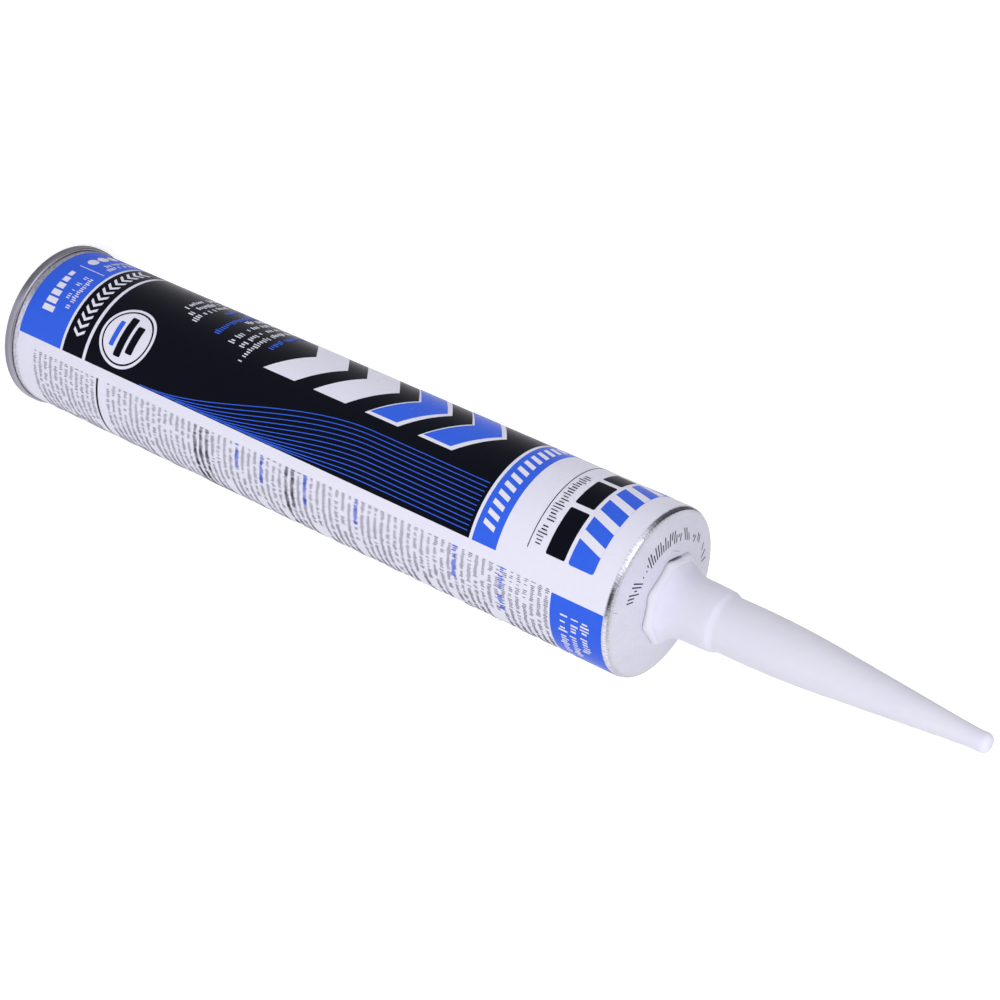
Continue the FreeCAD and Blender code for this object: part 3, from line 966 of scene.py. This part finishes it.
studio = {
    # a light changes over metres from the can's foot or, in the sky, over the direction's upward part
    "horizonLight": 0.25, "topLight": 0.70, "skyChange": (0.25, 0.85),
    "backLight": 0.30, "backSide": (60.0, 60.0), "backChange": (0.65, 0.80),
    "floorColour": 0.92, "floorGlow": 0.40, "glowChange": (0.5, 2.0), "floorSize": 4,
    # what metal and lacquer mirror low down: level all round, then azimuth, half width and change of each
    # part, and how far up it reaches
    "around": 0.76, "nearFloor": 0.88, "nearChange": (0.45, 0.85), "aroundChange": (0.25, 0.40),
    "sides": (
        (157.0, 41.0, -0.66, 0.62), (-60.0, 19.0, -0.72, 0.62), (-113.0, 31.0, 0.35, 0.62),
        (0.0, 34.0, 0.24, 0.62),
    ),
    "sideFade": 0.14, "reachFade": 0.15, "leastSide": 0.03, "mirrorTint": (0.94, 0.93, 1.0),
    # the floor by the can's foot as the roll mirrors it, dimmer there as a painted shadow of the can: its
    # level, then azimuth, half width and gain of its bright part, which is painted light
    "foot": 0.40, "footSide": (-35.0, 62.0, 0.49), "footChange": (0.032, 0.055),
    "under": 0.70, "underChange": (0.0222, 0.0231),  # light under the can, up into its open end
    # name, azimuth, height, power, and whether gloss shows the lamp
    "lamps": (
        ("keyLamp", -80.0, 45.0, 5.0, False), ("leftLamp", -122.0, 35.0, 2.1, True),
        ("rightLamp", -26.0, 35.0, 3.2, False),
    ),
    "lampDistance": 1.25, "lampSize": 0.9, "lampAim": 0.12,
}


def facing(tree, x, y, azimuth, width, light):
    # light where the level direction (x, y) lies within width of the azimuth, with soft edges
    a, w, fade = math.radians(azimuth), math.radians(width), studio["sideFade"]
    toward = weighted(tree, x, math.cos(a), y, math.sin(a))
    return spread(tree, toward, math.cos(w + fade), math.cos(w - fade), 0.0, light)


def sideLight(tree, strength, x, y, z):
    # the level direction's own changes of light added to the strength that is there
    for azimuth, width, light, reach in studio["sides"]:
        change = facing(tree, x, y, azimuth, width, light)
        if z:
            low = spread(tree, z, reach - studio["reachFade"], reach, 1.0, 0.0)
            change = maths(tree, "MULTIPLY", change, low)
        strength = maths(tree, "ADD", strength, change)
    return maths(tree, "MAXIMUM", strength, studio["leastSide"])


def makeFloor():
    # pale paper; far from the can, reflections see the studio's sides in place of the paper
    size = studio["floorSize"]
    corners = [(-size, -size, 0), (size, -size, 0), (size, size, 0), (-size, size, 0)]
    mesh = bpy.data.meshes.new("floor")
    mesh.from_pydata(corners, [], [(0, 1, 2, 3)])
    floor = addObject("floor", mesh)
    material, tree = newMaterial("floorPaper")
    pale = studio["floorColour"]
    paper = addNode(tree, "BsdfDiffuse", {"Color": (pale, pale, pale, 1)}).outputs["BSDF"]
    path = addNode(tree, "LightPath", {})
    point = objectPoint(tree)
    parts = addNode(tree, "SeparateXYZ", {"Vector": point})
    away = addNode(tree, "VectorMath", {0: point}, operation="LENGTH").outputs["Value"]
    seen = maths(tree, "MAXIMUM", path.outputs["Is Camera Ray"], path.outputs["Is Transmission Ray"])
    under = spread(tree, away, *studio["underChange"], studio["under"], 0.0)
    paleGlow = spread(tree, away, *studio["glowChange"], studio["floorGlow"], 1.0)
    glow = weighted(tree, seen, paleGlow, under, 1.0)
    glow = addNode(tree, "Emission", {"Strength": glow}).outputs["Emission"]
    lit = addNode(tree, "AddShader", {0: paper, 1: glow}).outputs["Shader"]
    x, y = (maths(tree, "DIVIDE", parts.outputs[axis], maths(tree, "MAXIMUM", away, 0.001)) for axis in "XY")
    # painted shadow: by the can's foot the floor that gloss sees glows dimmer, and brighter on one side as
    # painted light
    foot = maths(tree, "ADD", facing(tree, x, y, *studio["footSide"]), studio["foot"])
    foot = maths(tree, "MAXIMUM", foot, under)
    near = between(tree, spread(tree, away, *studio["footChange"], 0.0, 1.0), foot, studio["nearFloor"])
    far = spread(tree, away, *studio["nearChange"], 0.0, 1.0)
    mirrored = between(tree, far, near, sideLight(tree, studio["around"], x, y, None))
    mirrored = addNode(tree, "Emission", {"Color": (*studio["mirrorTint"], 1), "Strength": mirrored})
    shaders = {1: lit, 2: mirrored.outputs["Emission"]}
    lit = addNode(tree, "MixShader", {0: path.outputs["Is Glossy Ray"], **shaders}).outputs["Shader"]
    # the floor can be looked through from below
    clear = addNode(tree, "BsdfTransparent", {}).outputs["BSDF"]
    below = addNode(tree, "NewGeometry", {}).outputs["Backfacing"]
    both = addNode(tree, "MixShader", {0: below, 1: lit, 2: clear}).outputs["Shader"]
    addNode(tree, "OutputMaterial", {"Surface": both})
    mesh.materials.append(material)


def makeWorld():
    # light from above, dimmer near the horizon and stronger at the back; low down, reflections see the sides
    world = bpy.data.worlds.new("studio")
    bpy.context.scene.world = world
    world.use_nodes = True
    tree = world.node_tree
    tree.nodes.clear()
    parts = addNode(tree, "SeparateXYZ", {"Vector": addNode(tree, "TexCoord", {}).outputs["Generated"]})
    x, y, z = (parts.outputs[axis] for axis in "XYZ")
    strength = spread(tree, z, *studio["skyChange"], studio["horizonLight"], studio["topLight"])
    behind = facing(tree, x, y, *studio["backSide"], studio["backLight"])
    strength = weighted(tree, strength, 1.0, spread(tree, z, *studio["backChange"], 1.0, 0.0), behind)
    path = addNode(tree, "LightPath", {})
    mirrored = between(tree, spread(tree, z, *studio["aroundChange"], 0.0, 1.0), studio["around"], strength)
    mirrored = sideLight(tree, mirrored, x, y, z)
    strength = between(tree, path.outputs["Is Glossy Ray"], strength, mirrored)
    strength = maths(tree, "MAXIMUM", strength, path.outputs["Is Camera Ray"])
    sky = addNode(tree, "Background", {"Color": (1, 1, 1, 1), "Strength": strength}).outputs["Background"]
    addNode(tree, "OutputWorld", {"Surface": sky})


def addLamp(name, azimuth, height, power, inGloss):
    light = bpy.data.lights.new(name, "AREA")
    light.shape = "DISK"
    light.size = studio["lampSize"]
    light.energy = power
    lamp = addObject(name, light)
    lamp.visible_glossy = inGloss
    a, h = math.radians(azimuth), math.radians(height)
    away = Vector((math.cos(a) * math.cos(h), math.sin(a) * math.cos(h), math.sin(h)))
    lamp.location = Vector((0, 0, studio["lampAim"])) + away * studio["lampDistance"]
    lamp.rotation_mode = "QUATERNION"
    lamp.rotation_quaternion = away.to_track_quat("Z", "Y")


view = {
    "place": (0.0, -564.91, 486.67), "aim": (-5.06, 0.0, 161.46), "roll": 114.18, "lens": 88.26,
    "sensor": 36.0, "clip": (0.01, 20.0),
}


def makeCamera():
    data = bpy.data.cameras.new("camera")
    data.sensor_width, data.lens = view["sensor"], view["lens"]
    data.clip_start, data.clip_end = view["clip"]
    camera = addObject("camera", data)
    place, aim = Vector(view["place"]) * mm, Vector(view["aim"]) * mm
    level = (aim - place).to_track_quat("-Z", "Y").to_matrix().to_4x4()
    turn = Matrix.Rotation(math.radians(view["roll"]), 4, "Z")
    camera.matrix_world = Matrix.Translation(place) @ level @ turn
    bpy.context.scene.camera = camera


makeFloor()
makeWorld()
for lampSettings in studio["lamps"]:
    addLamp(*lampSettings)
makeCamera()
bpy.context.scene.view_settings.view_transform = "Standard"
print("studio made")
